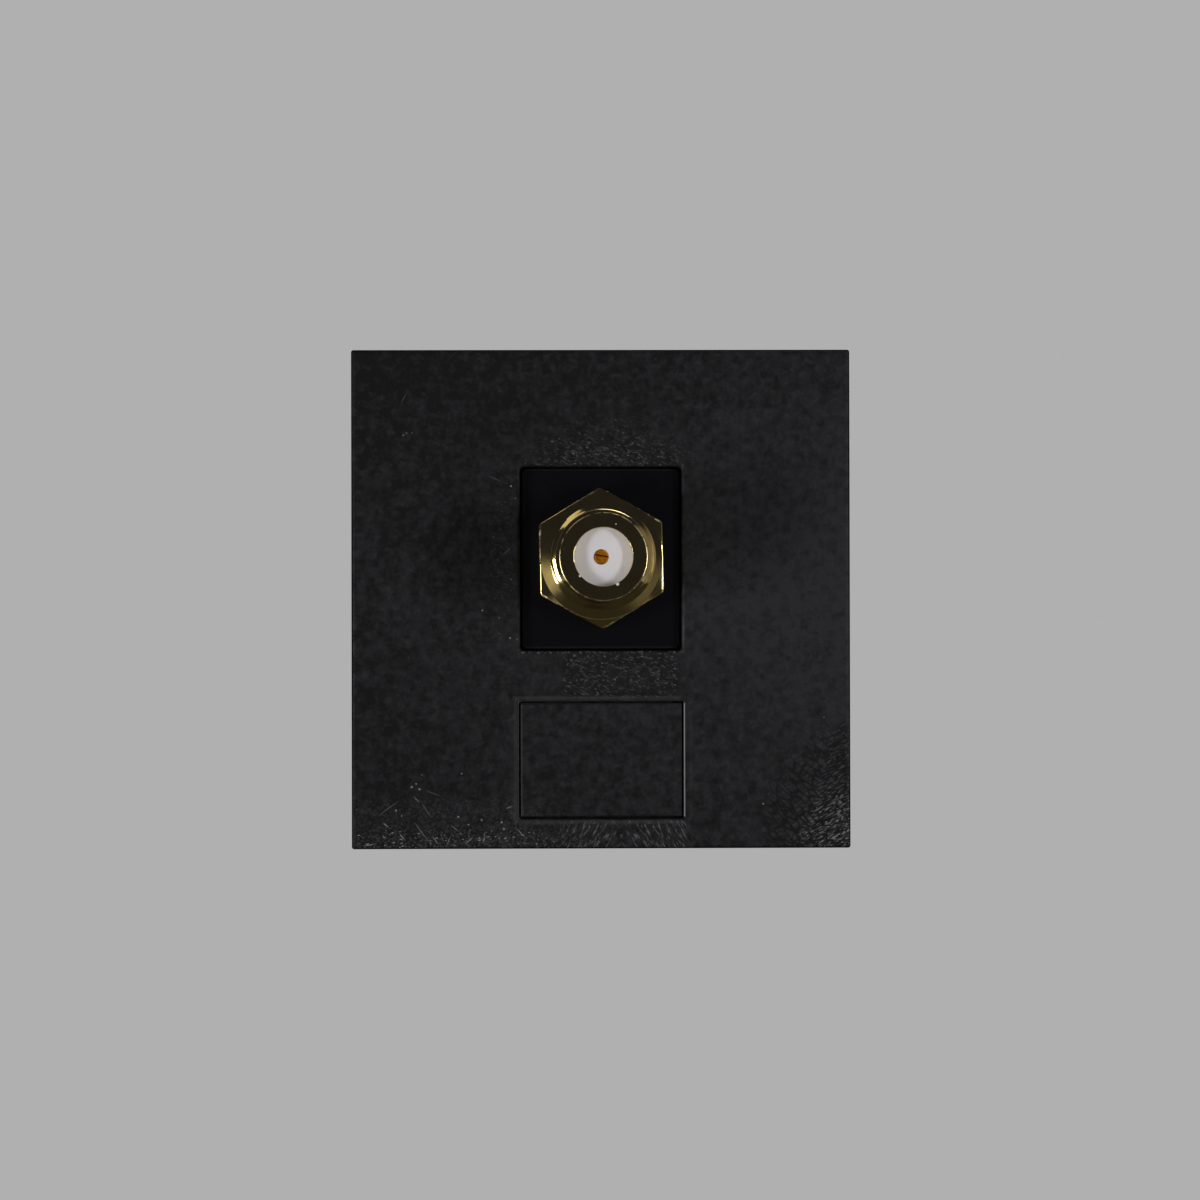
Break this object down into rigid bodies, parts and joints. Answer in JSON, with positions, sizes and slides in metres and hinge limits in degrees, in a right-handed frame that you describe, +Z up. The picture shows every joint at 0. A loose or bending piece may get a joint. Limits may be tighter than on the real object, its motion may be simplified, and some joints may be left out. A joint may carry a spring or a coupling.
{
  "type": "coaxial tv wall socket",
  "caption": "Square snap-in wall outlet for aerial cable: grained face with a label field, and a threaded coaxial coupler clamped in a snap-fit insert, open for a plug at the front and at the back.",
  "frame": {"origin": "middle of the opening in the wall frame, on the plane where the rim of the cover seats against that frame; the socket's axis is 3.65 mm above it", "axes": "+Y into the wall, +Z up, +X to the right as seen from the room; a plug goes on along +Y from the front"},
  "size_m": [0.045, 0.0253, 0.045],
  "materials": {
    "grained_black_plastic": "fine spark-eroded grain",
    "inner_black_plastic": "as moulded",
    "polished_black_plastic": "smooth, polished mould",
    "gold_plated_brass": "gold flash over turned brass",
    "white_insulator": "turned fluoropolymer",
    "contact_bronze": "bare spring bronze",
    "nickel_plate": "nickel-plated spring steel"
  },
  "bodies": {
    "root": {"front_cover": "grained_black_plastic", "label_plate": "grained_black_plastic", "carrier_frame": "inner_black_plastic", "snap_insert": "polished_black_plastic", "connector_shell": "gold_plated_brass", "front_insulator": "white_insulator", "rear_insulator": "white_insulator", "spacer_sleeve": "white_insulator", "contact_tube": "gold_plated_brass", "front_contact_spring": "contact_bronze", "rear_contact_spring": "contact_bronze", "spring_washer": "nickel_plate", "jam_nut": "gold_plated_brass"}
  },
  "joints": []
}
